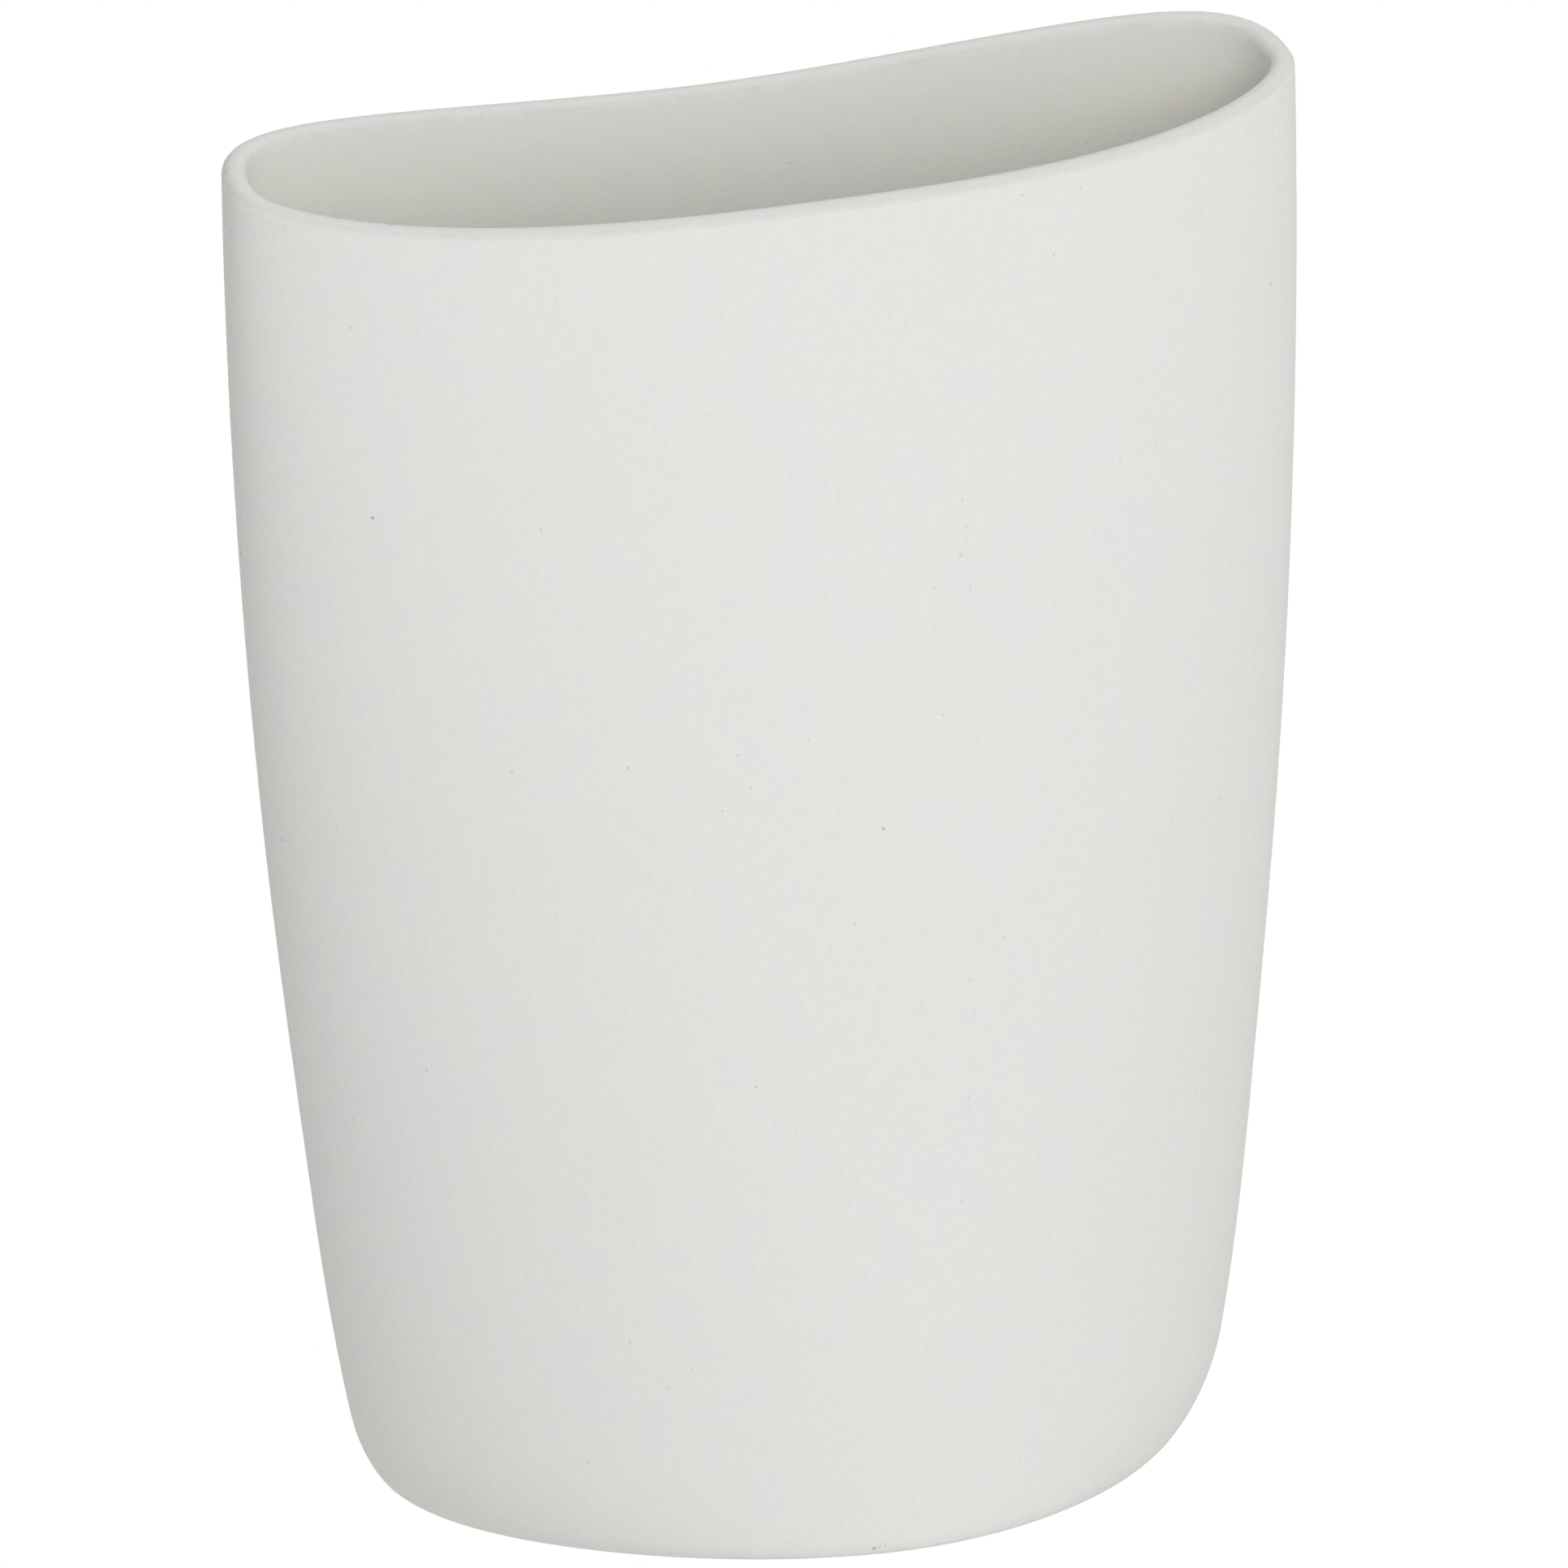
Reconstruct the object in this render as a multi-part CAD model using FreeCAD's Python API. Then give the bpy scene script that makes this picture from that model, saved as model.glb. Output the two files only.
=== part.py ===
import FreeCAD, Part
import os
from math import cos, hypot, pi, sqrt

# Hanging wall vase: a thin ceramic pocket with a flat back, hung on one screw by a keyhole.
# The origin is the screw's axis on the face of the wall. +Z is up and the vase's front looks
# along -Y. Lengths are in millimetres, and heights with "above the foot" start at the foot.

# Vase outside
vase_height = 183.4          # foot to the lip at its two ends
mouth_half_width = 75.0
base_half_width = 58.4       # where the sides would meet the foot without its rounded ends
mouth_front_depth = 23.3     # widest line to the front, at the mouth
base_front_depth = 45.4      # the same at the foot, so that the pocket swells downwards
back_depth = 17.4            # widest line to the crown of the back, at every height
side_straight_share = -0.04  # how much of the draw towards the foot is straight, the rest is curved
front_straight_share = 1.57

# Fullness of a section's quarters: 0.55 is an ellipse and more is squarer
mouth_front_share = 0.48
base_front_share = 0.48
mouth_back_share = 0.80
base_back_share = 0.49
fullness_straight_share = 0.5

# Rounded edge of the foot: how high it reaches and how far it draws in
end_round_height = 15.1
end_round_inset = 8.8
front_round_height = 2.0
front_round_inset = 1.5
back_round_height = 7.6
back_round_inset = 5.9

# Mouth and cavity
mouth_slope = 0.364          # fall of the lip towards the front
front_lip_rise = 2.9         # how far the middle of the front lip stands above that slope
back_lip_sag = 6.0           # how far the middle of the back lip sags below it
lip_power = 1.68             # 1 would be a kink in the middle, and more is rounder
lip_round = 1.55             # on both edges of the lip, so that it is nearly a half round
wall = 3.4
floor_thickness = 5.0
floor_round = 5.0            # soft corner between the cavity's wall and its floor

# Back and keyhole
back_land = 0.5              # ground off the crown of the back, so that it lies flat
hang_gap = 0.3               # between the back and the wall that it hangs on
screw_drop = 33.4            # lip's two ends down to the screw's axis
keyhole_drop = 9.0           # centre of the slot's round end down to the centre of the entry
keyhole_edge = 0.6           # softened edge of the keyhole on the back

# Screw
shank_radius = 2.0
shank_clearance = 0.3        # around the shank in the slot, and under the head
screw_length = 32.0          # under the head, with its point
point_length = 3.5
head_radius = 4.0
head_height = 2.6
head_rim = 0.9               # straight side of the head below its dome
entry_clearance = 1.0        # around the head in the entry
recess_span = 4.2
recess_width = 0.9
recess_depth = 1.4

# Wall plug, sunk flush with the face of the wall
plug_radius = 3.0
plug_length = 30.0
plug_collar_length = 13.0    # plain stretch at the mouth of the plug
plug_nose = 0.8              # bevel at the buried end
slit_width = 1.0
slit_length = 15.0
groove_count = 5
groove_depth = 0.35
groove_width = 1.3

overrun = 1.0                # how far a cutting tool runs past what it cuts
mouth_allowance = 12.0       # how far the walls run up before the mouth is cut

# Levels on each stretch of the form
round_levels = 6
wall_levels = 5
lip_steps = 4                # on each side of the lip's lowest point

widest_y = back_land - hang_gap - back_depth
foot_z = screw_drop - vase_height
back_wall = wall - back_land
slot_radius = shank_radius + shank_clearance
entry_radius = head_radius + entry_clearance
head_seat_y = -(hang_gap + back_wall + shank_clearance)


def eased(share, straight_share):
    """Share of a change that is done at this share of the way, part straight and part curved"""
    return straight_share * share + (1 - straight_share) * share ** 2


def round_share(height, round_height):
    """Share of a rounded edge's inset that is left at this height above its flat"""
    if height >= round_height:
        return 0
    return 1 - sqrt(1 - (1 - height / round_height) ** 2)


def outside_form(height):
    """Half width, front depth, back depth and the two fullnesses of the outside at this height"""
    down = 1 - height / vase_height
    half_width = mouth_half_width + (base_half_width - mouth_half_width) * eased(down, side_straight_share)
    front = mouth_front_depth + (base_front_depth - mouth_front_depth) * eased(down, front_straight_share)
    half_width -= end_round_inset * round_share(height, end_round_height)
    front -= front_round_inset * round_share(height, front_round_height)
    back = back_depth - back_round_inset * round_share(height, back_round_height)
    change = eased(down, fullness_straight_share)
    front_share = mouth_front_share + (base_front_share - mouth_front_share) * change
    back_share = mouth_back_share + (base_back_share - mouth_back_share) * change
    return half_width, front, back, front_share, back_share


def quarter(half_width, depth, share, inset, draw_in):
    """Poles (x, y) of a quarter of a section, from its middle to its end"""
    middle = 1 / 2 + 3 / 8 * share
    slant = hypot(half_width, depth)
    width = half_width - inset
    drop = depth - inset
    x_middle = middle * half_width - inset * depth / slant
    y_middle = middle * depth - inset * half_width / slant
    x_handle = (x_middle - width / 2) * 8 / 3
    y_handle = (y_middle - drop / 2) * 8 / 3
    x_scale = 1 - draw_in / width
    y_scale = 1 - draw_in / drop
    poles = [(0, drop), (x_handle, drop), (width, y_handle), (width, 0)]
    return [(x * x_scale, y * y_scale) for x, y in poles]


def section(height, inset=0, draw_in=0):
    """Poles of the four quarters of a level outline, a wall inside the outside and then drawn in"""
    half_width, front, back, front_share, back_share = outside_form(height)
    at_back = quarter(half_width, back, back_share, inset, draw_in)
    at_front = [(x, -y) for x, y in quarter(half_width, front, front_share, inset, draw_in)]
    quarters = [(1, at_back), (1, at_front[::-1]), (-1, at_front), (-1, at_back[::-1])]
    return [[FreeCAD.Vector(side * x, widest_y + y, foot_z + height) for x, y in poles]
            for side, poles in quarters]


def progress_along(sections):
    """Share of the way up at which each section lies, averaged over all lines of poles"""
    lines = [line for quarters in zip(*sections) for line in zip(*quarters)]
    progress = [0] * len(sections)
    for line in lines:
        steps = [start.distanceToPoint(end) for start, end in zip(line, line[1:])]
        for place in range(1, len(sections)):
            progress[place] += sum(steps[:place]) / sum(steps) / len(lines)
    return progress


def lofted(sections):
    """Solid with a smooth side through the sections and a flat face at each end"""
    progress = progress_along(sections)
    faces = []
    for quarters in zip(*sections):
        columns = []
        for line in zip(*quarters):
            column = Part.BSplineCurve()
            column.interpolate(Points=list(line), Parameters=progress)
            columns.append(column)
        ends = len(columns)
        surface = Part.BSplineSurface()
        surface.buildFromPolesMultsKnots(
            [column.getPoles() for column in columns], [ends, ends], columns[0].getMultiplicities(),
            [0, 1], columns[0].getKnots(), False, False, ends - 1, columns[0].Degree)
        faces.append(surface.toShape())
    for quarters in (sections[0], sections[-1]):
        edges = []
        for poles in quarters:
            curve = Part.BezierCurve()
            curve.setPoles(poles)
            edges.append(curve.toShape())
        faces.append(Part.Face(Part.Wire(edges)))
    shell = Part.Shell(faces)
    shell.sewShape()
    solid = Part.Solid(shell)
    if solid.Volume < 0:
        solid.reverse()
    return solid


def levels(start, end, count):
    """Evenly spaced heights, without the first"""
    return [start + (end - start) * step / count for step in range(1, count + 1)]


def round_heights(round_height):
    """Heights up a rounded edge, closer together near its flat"""
    return [round_height * (1 - cos(pi / 2 * step / round_levels)) for step in range(round_levels + 1)]


def outer_form():
    """Outside of the vase as a solid, run past the mouth"""
    heights = round_heights(end_round_height)
    heights += levels(end_round_height, vase_height + mouth_allowance, wall_levels)
    return lofted([section(height) for height in heights])


def cavity_form():
    """Room inside the vase, run past the mouth"""
    sections = []
    for above in round_heights(floor_round):
        draw_in = floor_round * round_share(above, floor_round)
        sections.append(section(floor_thickness + above, wall, draw_in))
    for height in levels(floor_thickness + floor_round, vase_height + mouth_allowance, wall_levels):
        sections.append(section(height, wall))
    return lofted(sections)


def lip_line(y):
    """Points of the mouth's cut at this depth, from one end of the vase to the other"""
    reach = mouth_half_width + overrun
    forward = widest_y - y
    front_share = (forward + back_depth) / (mouth_front_depth + back_depth)
    sag = back_lip_sag * (1 - front_share) - front_lip_rise * front_share
    line = []
    for step in range(-lip_steps, lip_steps + 1):
        x = reach * step / lip_steps
        drop = mouth_slope * forward + sag * (1 - (abs(x) / mouth_half_width) ** lip_power)
        line.append(FreeCAD.Vector(x, y, foot_z + vase_height - drop))
    return line


def mouth_tool():
    """What is over the mouth: its lower side is ruled from the front lip's line to the back's"""
    top_z = foot_z + vase_height + 2 * mouth_allowance
    wires = []
    for y in (widest_y - base_front_depth, overrun):
        line = lip_line(y)
        curve = Part.BSplineCurve()
        curve.interpolate(line)
        over = [FreeCAD.Vector(point.x, y, top_z) for point in (line[-1], line[0])]
        wires.append(Part.Wire([curve.toShape()] + Part.makePolygon([line[-1]] + over + [line[0]]).Edges))
    return Part.makeLoft(wires, True, True)


def vessel():
    """Hollow vase with its mouth cut and its lip rounded on both edges"""
    shell = outer_form().cut(cavity_form()).cut(mouth_tool())
    lip = max(shell.Faces, key=lambda face: face.BoundBox.ZMin)
    return shell.makeFillet(lip_round, lip.Edges)


def along_y(profile):
    """Solid of revolution about the screw's axis from (y, radius) points"""
    points = [FreeCAD.Vector(radius, y, 0) for y, radius in profile]
    face = Part.Face(Part.makePolygon(points + points[:1]))
    return face.revolve(FreeCAD.Vector(), FreeCAD.Vector(0, 1, 0), 360)


def slab(width, y_start, y_end, height, middle_z=0):
    """Box centred on X and on the given height"""
    corner = FreeCAD.Vector(-width / 2, y_start, middle_z - height / 2)
    return Part.makeBox(width, y_end - y_start, height, corner)


def keyhole_outline(y, margin=0):
    """Keyhole at this depth: a slot with a round upper end that opens into a round entry"""
    slot = slot_radius + margin
    entry = entry_radius + margin
    shoulder = sqrt(entry ** 2 - slot ** 2) - keyhole_drop
    at = lambda x, z: FreeCAD.Vector(x, y, z)
    edges = [
        Part.Arc(at(-slot, 0), at(0, slot), at(slot, 0)).toShape(),
        Part.LineSegment(at(slot, 0), at(slot, shoulder)).toShape(),
        Part.Arc(at(slot, shoulder), at(0, -keyhole_drop - entry), at(-slot, shoulder)).toShape(),
        Part.LineSegment(at(-slot, shoulder), at(-slot, 0)).toShape(),
    ]
    return Part.Wire(edges)


def keyhole_tool():
    """What the keyhole takes out of the back, with the softened edge at the outside"""
    depth = hang_gap + back_wall + overrun
    through = Part.Face(keyhole_outline(-depth)).extrude(FreeCAD.Vector(0, depth, 0))
    wide = keyhole_outline(-hang_gap, keyhole_edge)
    narrow = keyhole_outline(-hang_gap - keyhole_edge)
    return through.fuse(Part.makeLoft([narrow, wide], True, True))


def vase_body():
    body = vessel()
    width = 2 * (mouth_half_width + overrun)
    height = 2 * (vase_height + overrun)
    body = body.cut(slab(width, -hang_gap, back_land + overrun, height))
    return body.cut(keyhole_tool())


def wall_screw():
    """Pan-head screw: domed head, shank and point, with a cross recess"""
    tip = head_seat_y + screw_length
    crown_y = head_seat_y - head_height
    rim_y = head_seat_y - head_rim
    dome_radius = (head_radius ** 2 + (head_height - head_rim) ** 2) / (2 * (head_height - head_rim))
    mid_radius = head_radius / 2
    mid_y = crown_y + dome_radius - sqrt(dome_radius ** 2 - mid_radius ** 2)
    at = lambda y, radius: FreeCAD.Vector(radius, y, 0)
    outline = [
        Part.Arc(at(crown_y, 0), at(mid_y, mid_radius), at(rim_y, head_radius)).toShape(),
        Part.makePolygon([
            at(rim_y, head_radius), at(head_seat_y, head_radius), at(head_seat_y, shank_radius),
            at(tip - point_length, shank_radius), at(tip, 0), at(crown_y, 0)]),
    ]
    screw = Part.Face(Part.Wire(outline)).revolve(FreeCAD.Vector(), FreeCAD.Vector(0, 1, 0), 360)
    recess_end = crown_y + recess_depth
    across = slab(recess_span, crown_y - overrun, recess_end, recess_width)
    upright = slab(recess_width, crown_y - overrun, recess_end, recess_span)
    return screw.cut(across.fuse(upright))


def wall_plug():
    """Plastic plug: plain collar, then a grooved and slit stretch that the screw spreads"""
    profile = [(0, shank_radius), (0, plug_radius), (plug_collar_length, plug_radius)]
    pitch = (plug_length - plug_nose - plug_collar_length) / groove_count
    for place in range(groove_count):
        start = plug_collar_length + pitch * place
        profile += [(start, plug_radius - groove_depth), (start + groove_width, plug_radius - groove_depth)]
        profile += [(start + groove_width, plug_radius), (start + pitch, plug_radius)]
    profile += [(plug_length, plug_radius - plug_nose), (plug_length, shank_radius)]
    slit = slab(2 * (plug_radius + overrun), plug_length - slit_length, plug_length + overrun, slit_width)
    return along_y(profile).cut(slit)


os.makedirs("parts", exist_ok=True)
nodes = {
    "vase_body": vase_body,
    "wall_screw": wall_screw,
    "wall_plug": wall_plug,
}
for name, make in nodes.items():
    shape = make()
    box = shape.BoundBox
    print(name, "solids", len(shape.Solids), "valid", shape.isValid(), "volume", round(shape.Volume, 1),
          "x", round(box.XMin, 2), round(box.XMax, 2), "y", round(box.YMin, 2), round(box.YMax, 2),
          "z", round(box.ZMin, 2), round(box.ZMax, 2))
    shape.exportStep(f"parts/{name}.step")
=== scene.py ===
"""Looks of the hanging wall vase: materials, floor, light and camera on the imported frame."""
import math
import bpy
from mathutils import Matrix, Vector
from mathutils.bvhtree import BVHTree


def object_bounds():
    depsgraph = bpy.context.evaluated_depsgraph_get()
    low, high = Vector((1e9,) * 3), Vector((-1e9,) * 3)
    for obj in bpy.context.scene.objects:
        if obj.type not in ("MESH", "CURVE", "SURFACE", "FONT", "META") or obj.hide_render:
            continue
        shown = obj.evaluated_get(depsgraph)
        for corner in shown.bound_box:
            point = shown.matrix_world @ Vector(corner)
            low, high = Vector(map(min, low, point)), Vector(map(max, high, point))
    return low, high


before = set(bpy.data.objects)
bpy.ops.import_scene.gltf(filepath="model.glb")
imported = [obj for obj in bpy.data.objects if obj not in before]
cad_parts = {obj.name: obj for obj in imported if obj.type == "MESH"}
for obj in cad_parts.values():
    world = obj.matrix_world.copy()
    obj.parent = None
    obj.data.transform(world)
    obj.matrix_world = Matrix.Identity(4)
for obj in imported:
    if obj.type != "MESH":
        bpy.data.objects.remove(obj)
cad_box = [list(corner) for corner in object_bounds()]

# Lengths are in metres, colours in linear light, angles in degrees, and texture scales in
# features per metre. Pixels are those of the photograph, which is 1932 wide and high.

# Colours
GLAZE = (0.797, 0.804, 0.788)
GLAZE_WARM = (0.807, 0.798, 0.758)
INSIDE = (0.802, 0.793, 0.746)
# painted light: a lighter inside colour for the band under the back lip
INSIDE_TOP_PAINTED_LIGHT = (0.862, 0.854, 0.806)
# painted shade: a darker colour for the lip's rounded edges
LIP_PAINTED_SHADE = (0.688, 0.688, 0.666)
SPECK_DARK = (0.20, 0.18, 0.15)
SPECK_LIGHT = (0.93, 0.93, 0.91)
STEEL = (0.62, 0.63, 0.64)
STEEL_DULL = (0.50, 0.50, 0.49)
PLUG = (0.36, 0.38, 0.40)
PLUG_PALE = (0.40, 0.42, 0.44)
FLOOR = (0.90, 0.90, 0.89)
WHITE = (1.0, 1.0, 1.0)

# Middle of the room inside, how its three directions count when a surface is told from the
# outside, and how squarely a surface faces that middle where the outside ends and the inside starts
ROOM_MIDDLE = (0.0, -0.022, -0.06)
ROOM_SHARES = (0.35, 1.0, 0.3)
OUTSIDE_FACING = 0.15
INSIDE_FACING = -0.25

# Painted shade on the rounded edges of the lip: they lie above this height and slope between these values
# of the normal's Z, the top gets less painted shade, and the inner edge counts as sloping more than it
# does
LIP_LOWEST = 0.015
LIP_EDGE_SLOPE = (0.20, 0.62)
LIP_TOP_SLOPE = (0.45, 1.00)
LIP_TOP_SHARE = 0.15
LIP_INNER_SLOPE = 0.20
LIP_SHADE_PATCH_SPAN = (0.30, 0.65)
LIP_SHADE_LEAST_SHARE = 0.55

# Painted light: a lighter band on the inside under the back lip: its height from end to full, the lip's
# rise towards its two ends, and the distance from the middle over which the band falls to its least share
LIT_BAND_HEIGHT = (0.0225, 0.0320)
LIP_RISE_SHARE = 0.047
LIT_BAND_SIDE = (0.020, 0.070)
LIT_BAND_END_SHARE = 0.2

# Clouds, grain and bumps of the ceramic, and the span that most of a noise lies in
NOISE_SPAN = (0.30, 0.70)
CLOUD_SUM = (0.85, 1.15)
CLOUD_MOST_SHARE = 0.9
GRAIN_SHARES = (0.977, 1.023)
SPECK_SHARE = 0.45
PALE_SHARE = 0.55
WAVE_DEPTH = 0.0004
GRAIN_DEPTH = 0.00006
PINHOLE_DEPTH = 0.0002

# Screw and plug
STEEL_ROUGHNESS = (0.28, 0.42)
TURNING_DEPTH = 0.00002
MOULDING_DEPTH = 0.00004

# Specks, scuffs and chips of the vase: pixel x and y, radius, and how dark or pale they are
DARK_MARKS = (
    (459, 638, 0.00036, 0.50), (348, 1035, 0.00034, 0.30), (1184, 684, 0.00034, 0.22),
    (1186, 617, 0.00030, 0.20), (1191, 649, 0.00032, 0.16), (1196, 720, 0.00026, 0.16),
    (1196, 726, 0.00026, 0.14), (631, 952, 0.00030, 0.22), (432, 404, 0.00032, 0.22),
    (1421, 897, 0.00028, 0.20), (1380, 565, 0.00028, 0.20), (1504, 984, 0.00028, 0.20),
    (1184, 1481, 0.00028, 0.20), (1445, 1013, 0.00026, 0.18), (1194, 1352, 0.00026, 0.18),
    (1194, 1207, 0.00026, 0.16), (925, 972, 0.00026, 0.17), (822, 1709, 0.00028, 0.18),
    (285, 283, 0.00034, 0.22), (279, 212, 0.00034, 0.22), (324, 640, 0.00030, 0.10),
    (296, 676, 0.00034, 0.45), (297, 683, 0.00034, 0.45), (481, 277, 0.00030, 0.14),
    (414, 263, 0.00030, 0.14), (388, 250, 0.00030, 0.14), (350, 282, 0.00034, 0.10),
    (1338, 176, 0.00030, 0.16), (1399, 162, 0.00030, 0.14), (1442, 146, 0.00030, 0.14),
    (1077, 1908, 0.00036, 0.55), (1084, 1906, 0.00022, 0.30), (1091, 1904, 0.00022, 0.26),
    (1106, 1908, 0.00030, 0.16), (1114, 1907, 0.00030, 0.16),
)
PALE_MARKS = (
    (631, 649, 0.00026, 0.60), (812, 692, 0.00022, 0.60), (605, 539, 0.00022, 0.55),
    (411, 663, 0.00020, 0.50), (563, 1001, 0.00020, 0.50), (634, 1062, 0.00020, 0.45),
)
MARK_CORE_SHARE = 0.35       # share of a mark's radius that has its full strength

# Camera: the photograph's view of the vase
VIEW_AZIMUTH = -22.68
VIEW_ELEVATION = 17.10
VIEW_ROLL = -0.86
FOCAL_PX = 60000.0
PX_PER_M = 9428.0
CENTRE_PX = (952.5, 970.7)   # where the target appears
IMAGE_PX = 1932.0
SENSOR_MM = 36.0
CAMERA_REACH = 100.0
TARGET = Vector((0.0, -0.0172, -0.0583))

# Light: the surround is weaker on the left, and a round lamp stands in front and above
WORLD_LEVEL = 0.665
WORLD_LEFT_LEVEL = 0.485
LEFT_TO_MIDDLE = (-1.0, 0.0)
KEY_AZIMUTH = 0.0
KEY_ELEVATION = 30.0
KEY_DISTANCE = 1.6
KEY_SIZE = 1.3
KEY_WATTS = 8.8

# Floor: it keeps the vase's shadow near by, and turns to plain white for the camera further out
FLOOR_DROP = 0.16
FLOOR_HALF_WIDTH = 6.0
FLOOR_FADE = (0.20, 0.44)
FLOOR_NEAR_WHITE = 0.35


def direction(azimuth, elevation):
    """Unit vector from the object to a viewer at this azimuth and elevation"""
    a = math.radians(azimuth)
    e = math.radians(elevation)
    return Vector((math.sin(a) * math.cos(e), -math.cos(a) * math.cos(e), math.sin(e)))


class Nodes:
    """A node tree in the making: each method adds nodes and gives back an output socket"""

    def __init__(self, tree):
        self.tree = tree
        tree.nodes.clear()
        place = tree.nodes.new("ShaderNodeTexCoord")
        self.place = place.outputs["Object"]
        self.normal = place.outputs["Normal"]
        self.towards = place.outputs["Generated"]

    def add(self, kind, inputs, **settings):
        """A node with these settings, its inputs set to a value or linked to a socket"""
        node = self.tree.nodes.new(kind)
        for name, value in settings.items():
            setattr(node, name, value)
        for name, value in inputs.items():
            if isinstance(value, bpy.types.NodeSocket):
                self.tree.links.new(value, node.inputs[name])
            else:
                node.inputs[name].default_value = value
        return node

    def maths(self, operation, first, second):
        return self.add("ShaderNodeMath", {0: first, 1: second}, operation=operation).outputs[0]

    def vector_maths(self, operation, first, second):
        return self.add("ShaderNodeVectorMath", {0: first, 1: second}, operation=operation).outputs

    def axis(self, vector, name):
        return self.add("ShaderNodeSeparateXYZ", {0: vector}).outputs[name]

    def ramp(self, value, span, low=0.0, high=1.0, interpolation="LINEAR"):
        """From low to high while the value goes from one end of the span to the other"""
        inputs = {"Value": value, "From Min": span[0], "From Max": span[1], "To Min": low, "To Max": high}
        return self.add("ShaderNodeMapRange", inputs, interpolation_type=interpolation).outputs["Result"]

    def mix(self, share, first, second):
        """Colour from the first to the second"""
        node = self.add("ShaderNodeMix", {0: share}, data_type="RGBA")
        for slot, colour in ((6, first), (7, second)):
            if isinstance(colour, tuple):
                node.inputs[slot].default_value = colour + (1.0,)
            else:
                self.tree.links.new(colour, node.inputs[slot])
        return node.outputs[2]

    def noise(self, scale, detail, roughness):
        inputs = {"Vector": self.place, "Scale": scale, "Detail": detail, "Roughness": roughness}
        return self.add("ShaderNodeTexNoise", inputs).outputs["Fac"]

    def dots(self, scale, radius, soft, chance):
        """1 inside sparse small dots, a share of the cells, and 0 outside; radius counts in cells"""
        cells = self.add("ShaderNodeTexVoronoi", {"Vector": self.place, "Scale": scale}).outputs
        dot = self.ramp(cells["Distance"], (radius, radius * (1.0 - soft)))
        chosen = self.add("ShaderNodeSeparateColor", {"Color": cells["Color"]}).outputs["Red"]
        return self.maths("MULTIPLY", dot, self.maths("LESS_THAN", chosen, chance))

    def mark(self, place, radius, level):
        """One round mark with a soft edge"""
        away = self.vector_maths("DISTANCE", self.place, place)["Value"]
        return self.ramp(away, (radius * MARK_CORE_SHARE, radius), level, 0.0)

    def marks(self, rows):
        """The strongest of several marks"""
        total = self.mark(*rows[0])
        for row in rows[1:]:
            total = self.maths("MAXIMUM", total, self.mark(*row))
        return total

    def bump(self, height, strength, distance, normal=None, invert=False):
        inputs = {"Height": height, "Strength": strength, "Distance": distance}
        if normal is not None:
            inputs["Normal"] = normal
        return self.add("ShaderNodeBump", inputs, invert=invert).outputs["Normal"]

    def seen(self):
        """1 for rays from the camera, gloss and glass, and 0 for the light on the object"""
        path = self.add("ShaderNodeLightPath", {}).outputs
        plain = self.maths("MAXIMUM", path["Is Camera Ray"], path["Is Glossy Ray"])
        return self.maths("MAXIMUM", plain, path["Is Transmission Ray"])

    def blend(self, share, first, second):
        """Shader from the first to the second"""
        return self.add("ShaderNodeMixShader", {0: share, 1: first, 2: second}).outputs[0]


class Finish(Nodes):
    """A principled material; the values of its shader are set, and links made, by name"""

    def __init__(self, name, inputs):
        self.material = bpy.data.materials.new(name)
        self.material.use_nodes = True
        super().__init__(self.material.node_tree)
        self.shader = self.add("ShaderNodeBsdfPrincipled", inputs)
        self.add("ShaderNodeOutputMaterial", {"Surface": self.shader.outputs["BSDF"]})

    def drive(self, name, socket):
        self.tree.links.new(socket, self.shader.inputs[name])


def inside(m):
    """1 where the surface looks into the vase's room, 0 outside"""
    away = m.vector_maths("SUBTRACT", m.place, ROOM_MIDDLE)[0]
    weighed = m.vector_maths("MULTIPLY", away, ROOM_SHARES)[0]
    unit = m.add("ShaderNodeVectorMath", {0: weighed}, operation="NORMALIZE").outputs[0]
    facing = m.vector_maths("DOT_PRODUCT", unit, m.normal)["Value"]
    return m.ramp(facing, (OUTSIDE_FACING, INSIDE_FACING))


def painted_lip_shade(m, room):
    """1 on both rounded edges of the lip, in uneven patches, less on its top, and 0 elsewhere: the mask
    of the lip's painted shade
    """
    above = m.maths("GREATER_THAN", m.axis(m.place, "Z"), LIP_LOWEST)
    slope = m.axis(m.normal, "Z")
    raised = m.maths("ADD", slope, m.maths("MULTIPLY", room, LIP_INNER_SLOPE))
    off_wall = m.ramp(raised, LIP_EDGE_SLOPE)
    off_top = m.ramp(slope, LIP_TOP_SLOPE, 1.0, LIP_TOP_SHARE)
    edges = m.maths("MULTIPLY", off_wall, off_top)
    patchiness = m.noise(scale=240.0, detail=4.0, roughness=0.6)
    uneven = m.ramp(patchiness, LIP_SHADE_PATCH_SPAN, LIP_SHADE_LEAST_SHARE, 1.0)
    return m.maths("MULTIPLY", m.maths("MULTIPLY", edges, uneven), above)


def painted_lit_band(m):
    """Where the painted light band goes: 1 close under the back lip, falling to 0 further down and less
    towards its ends
    """
    aside = m.maths("ABSOLUTE", m.axis(m.place, "X"), 0.0)
    rise = m.maths("MULTIPLY", aside, LIP_RISE_SHARE)
    near = m.ramp(m.maths("SUBTRACT", m.axis(m.place, "Z"), rise), LIT_BAND_HEIGHT)
    return m.maths("MULTIPLY", near, m.ramp(aside, LIT_BAND_SIDE, 1.0, LIT_BAND_END_SHARE))


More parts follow.
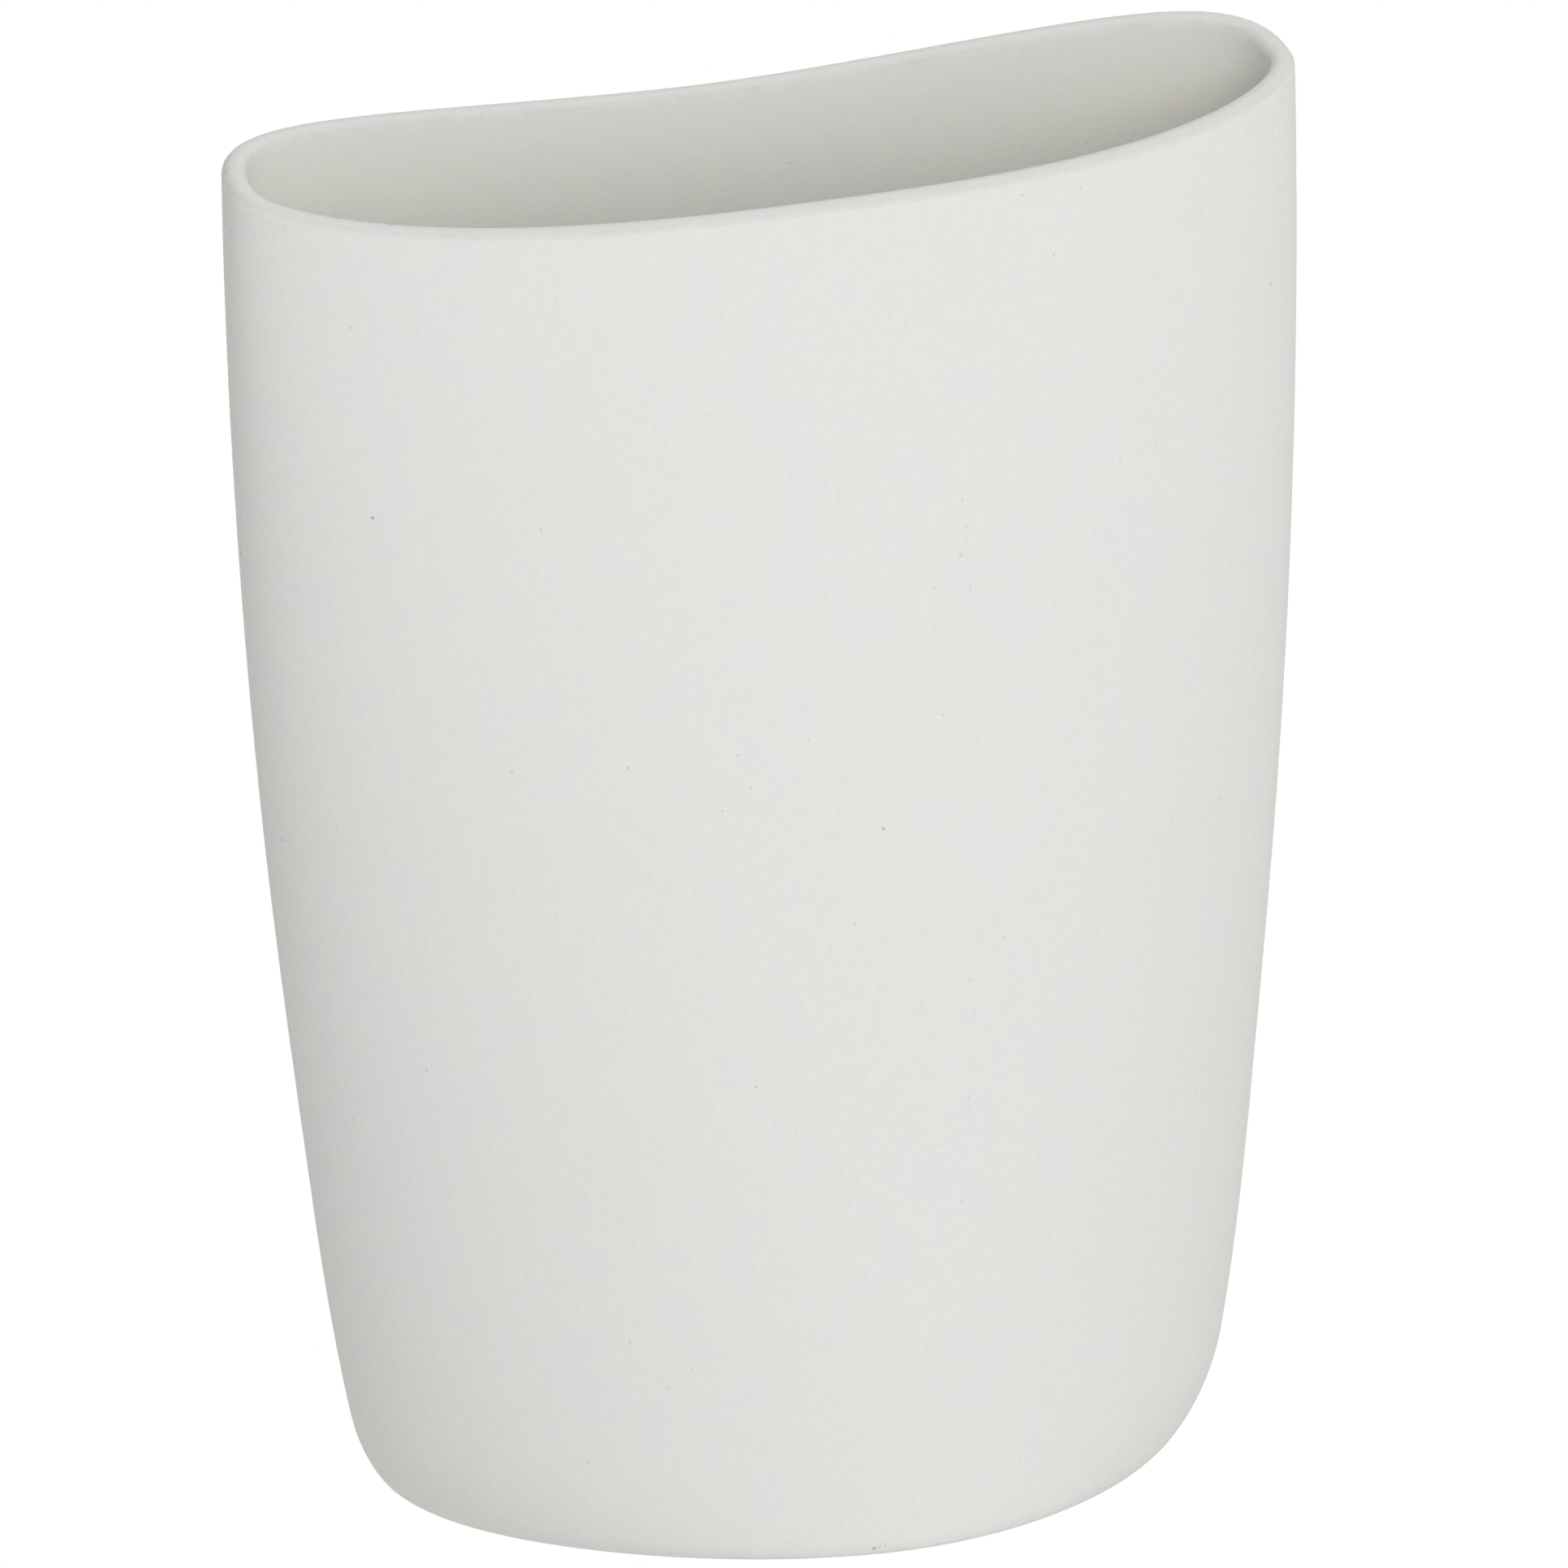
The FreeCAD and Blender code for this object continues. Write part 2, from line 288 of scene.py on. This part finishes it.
def ceramic_colour(m):
    """Cloudy glaze, warmer inside with a painted light band under the back lip and painted shade on the
    lip's edges, with grain, specks and placed marks
    """
    large = m.noise(scale=22.0, detail=4.0, roughness=0.6)
    small = m.noise(scale=160.0, detail=2.0, roughness=0.5)
    clouds = m.ramp(m.maths("ADD", large, small), CLOUD_SUM, 0.0, CLOUD_MOST_SHARE)
    body = m.mix(clouds, GLAZE, GLAZE_WARM)
    room = inside(m)
    # painted light: the inside turns lighter in a band under the back lip
    toned = m.mix(room, body, m.mix(painted_lit_band(m), INSIDE, INSIDE_TOP_PAINTED_LIGHT))
    # painted shade: the lip's rounded edges turn darker in uneven patches
    lip_shaded = m.mix(painted_lip_shade(m, room), toned, LIP_PAINTED_SHADE)
    grain = m.ramp(m.noise(scale=1500.0, detail=3.0, roughness=0.7), NOISE_SPAN, *GRAIN_SHARES)
    grained = m.add("ShaderNodeVectorMath", {0: lip_shaded, "Scale": grain}, operation="SCALE").outputs[0]
    specks = m.dots(scale=150.0, radius=0.050, soft=0.6, chance=0.10)
    fine_specks = m.dots(scale=420.0, radius=0.075, soft=0.6, chance=0.05)
    random_dark = m.maths("MULTIPLY", m.maths("MAXIMUM", specks, fine_specks), SPECK_SHARE)
    dark = m.maths("MAXIMUM", random_dark, m.marks(on_vase(DARK_MARKS)))
    pale_grains = m.dots(scale=190.0, radius=0.055, soft=0.5, chance=0.05)
    random_pale = m.maths("MULTIPLY", pale_grains, PALE_SHARE)
    pale = m.maths("MAXIMUM", random_pale, m.marks(on_vase(PALE_MARKS)))
    return m.mix(pale, m.mix(dark, grained, SPECK_DARK), SPECK_LIGHT)


def ceramic():
    """Matt off-white ware: slow hand-finished waves, fired grain and pinholes"""
    m = Finish("unglazed_ceramic", {"Roughness": 0.78, "IOR": 1.45, "Specular IOR Level": 0.25})
    m.drive("Base Color", ceramic_colour(m))
    slow = m.noise(scale=45.0, detail=2.0, roughness=0.5)
    fine = m.noise(scale=900.0, detail=4.0, roughness=0.65)
    holes = m.dots(scale=260.0, radius=0.070, soft=0.7, chance=0.06)
    waves = m.bump(slow, strength=0.35, distance=WAVE_DEPTH)
    grain = m.bump(fine, strength=0.30, distance=GRAIN_DEPTH, normal=waves)
    m.drive("Normal", m.bump(holes, strength=0.6, distance=PINHOLE_DEPTH, normal=grain, invert=True))
    return m.material


def steel():
    """Zinc-plated steel with faint turning rings"""
    m = Finish("zinc_plated_steel", {"Metallic": 1.0})
    cloud = m.noise(scale=500.0, detail=3.0, roughness=0.6)
    m.drive("Base Color", m.mix(m.ramp(cloud, NOISE_SPAN), STEEL, STEEL_DULL))
    m.drive("Roughness", m.ramp(cloud, NOISE_SPAN, *STEEL_ROUGHNESS))
    rings = {"Vector": m.place, "Scale": 900.0}
    turned = m.add("ShaderNodeTexWave", rings, wave_type="RINGS", rings_direction="Y").outputs["Fac"]
    m.drive("Normal", m.bump(turned, strength=0.15, distance=TURNING_DEPTH))
    return m.material


def plastic():
    """Grey moulded polyamide"""
    m = Finish("grey_polyamide", {"Roughness": 0.52, "Specular IOR Level": 0.4})
    cloud = m.noise(scale=160.0, detail=3.0, roughness=0.6)
    m.drive("Base Color", m.mix(m.ramp(cloud, NOISE_SPAN), PLUG, PLUG_PALE))
    grain = m.noise(scale=2500.0, detail=2.0, roughness=0.6)
    m.drive("Normal", m.bump(grain, strength=0.25, distance=MOULDING_DEPTH))
    return m.material


def dress(name, material):
    for slot in bpy.data.objects[name].material_slots:
        slot.material = material


def surround():
    """Pale light from all sides, weaker from the left, behind a plain white background"""
    world = bpy.data.worlds.new("studio")
    bpy.context.scene.world = world
    world.use_nodes = True
    m = Nodes(world.node_tree)
    level = m.ramp(m.axis(m.towards, "X"), LEFT_TO_MIDDLE, WORLD_LEFT_LEVEL, WORLD_LEVEL)
    light = m.add("ShaderNodeBackground", {"Color": WHITE + (1.0,), "Strength": level}).outputs[0]
    white = m.add("ShaderNodeBackground", {"Color": WHITE + (1.0,), "Strength": 1.0}).outputs[0]
    m.add("ShaderNodeOutputWorld", {"Surface": m.blend(m.seen(), light, white)})


def key_lamp():
    lamp = bpy.data.lights.new("key", "AREA")
    lamp.shape = "DISK"
    lamp.size = KEY_SIZE
    lamp.energy = KEY_WATTS
    key = bpy.data.objects.new("key", lamp)
    bpy.context.collection.objects.link(key)
    out = direction(KEY_AZIMUTH, KEY_ELEVATION)
    key.location = TARGET + out * KEY_DISTANCE
    key.rotation_euler = (-out).to_track_quat("-Z", "Y").to_euler()


def floor():
    """Matt pale floor below the vase, which fades to white for the camera away from the vase"""
    low = cad_box[0][2] - FLOOR_DROP
    side = FLOOR_HALF_WIDTH
    corners = [(-side, -side, low), (side, -side, low), (side, side, low), (-side, side, low)]
    mesh = bpy.data.meshes.new("floor")
    mesh.from_pydata(corners, [], [(0, 1, 2, 3)])
    plane = bpy.data.objects.new("floor", mesh)
    bpy.context.collection.objects.link(plane)
    material = bpy.data.materials.new("floor")
    material.use_nodes = True
    m = Nodes(material.node_tree)
    matte = m.add("ShaderNodeBsdfDiffuse", {"Color": FLOOR + (1.0,)}).outputs[0]
    white = m.add("ShaderNodeEmission", {"Strength": 1.0}).outputs[0]
    away = m.vector_maths("DISTANCE", m.place, (TARGET.x, TARGET.y, low))["Value"]
    far = m.ramp(away, FLOOR_FADE, FLOOR_NEAR_WHITE, 1.0, "SMOOTHSTEP")
    shown = m.blend(m.seen(), matte, m.blend(far, matte, white))
    m.add("ShaderNodeOutputMaterial", {"Surface": shown})
    mesh.materials.append(material)


def view_frame():
    """The camera's place and its right, up and outward directions"""
    out = direction(VIEW_AZIMUTH, VIEW_ELEVATION)
    azimuth = math.radians(VIEW_AZIMUTH)
    level = Vector((math.cos(azimuth), math.sin(azimuth), 0.0))
    steep = out.cross(level)
    roll = math.radians(VIEW_ROLL)
    right = level * math.cos(roll) + steep * math.sin(roll)
    up = steep * math.cos(roll) - level * math.sin(roll)
    aside = (IMAGE_PX / 2.0 - CENTRE_PX[0]) / PX_PER_M
    above = (CENTRE_PX[1] - IMAGE_PX / 2.0) / PX_PER_M
    place = TARGET + out * (FOCAL_PX / PX_PER_M) + right * aside + up * above
    return place, right, up, out


def camera():
    place, right, up, out = view_frame()
    data = bpy.data.cameras.new("camera")
    data.sensor_width = SENSOR_MM
    data.sensor_fit = "HORIZONTAL"
    data.lens = FOCAL_PX / IMAGE_PX * SENSOR_MM
    data.clip_end = CAMERA_REACH
    eye = bpy.data.objects.new("camera", data)
    bpy.context.collection.objects.link(eye)
    eye.matrix_world = Matrix((
        (right.x, up.x, out.x, place.x),
        (right.y, up.y, out.y, place.y),
        (right.z, up.z, out.z, place.z),
        (0.0, 0.0, 0.0, 1.0),
    ))
    bpy.context.scene.camera = eye


def on_vase(rows):
    """The places on the vase that the marks' pixels show, each with its radius and level"""
    mesh = bpy.data.objects["vase_body"].data
    corners = [vertex.co.copy() for vertex in mesh.vertices]
    surface = BVHTree.FromPolygons(corners, [tuple(face.vertices) for face in mesh.polygons])
    place, right, up, out = view_frame()
    half = IMAGE_PX / 2.0
    found = []
    for x, y, radius, level in rows:
        ray = right * (x - half) - up * (y - half) - out * FOCAL_PX
        spot = surface.ray_cast(place, ray.normalized())[0]
        if spot is not None:
            found.append((spot, radius, level))
    return found


dress("vase_body", ceramic())
dress("wall_screw", steel())
dress("wall_plug", plastic())
surround()
key_lamp()
floor()
camera()
bpy.context.scene.view_settings.view_transform = "Standard"
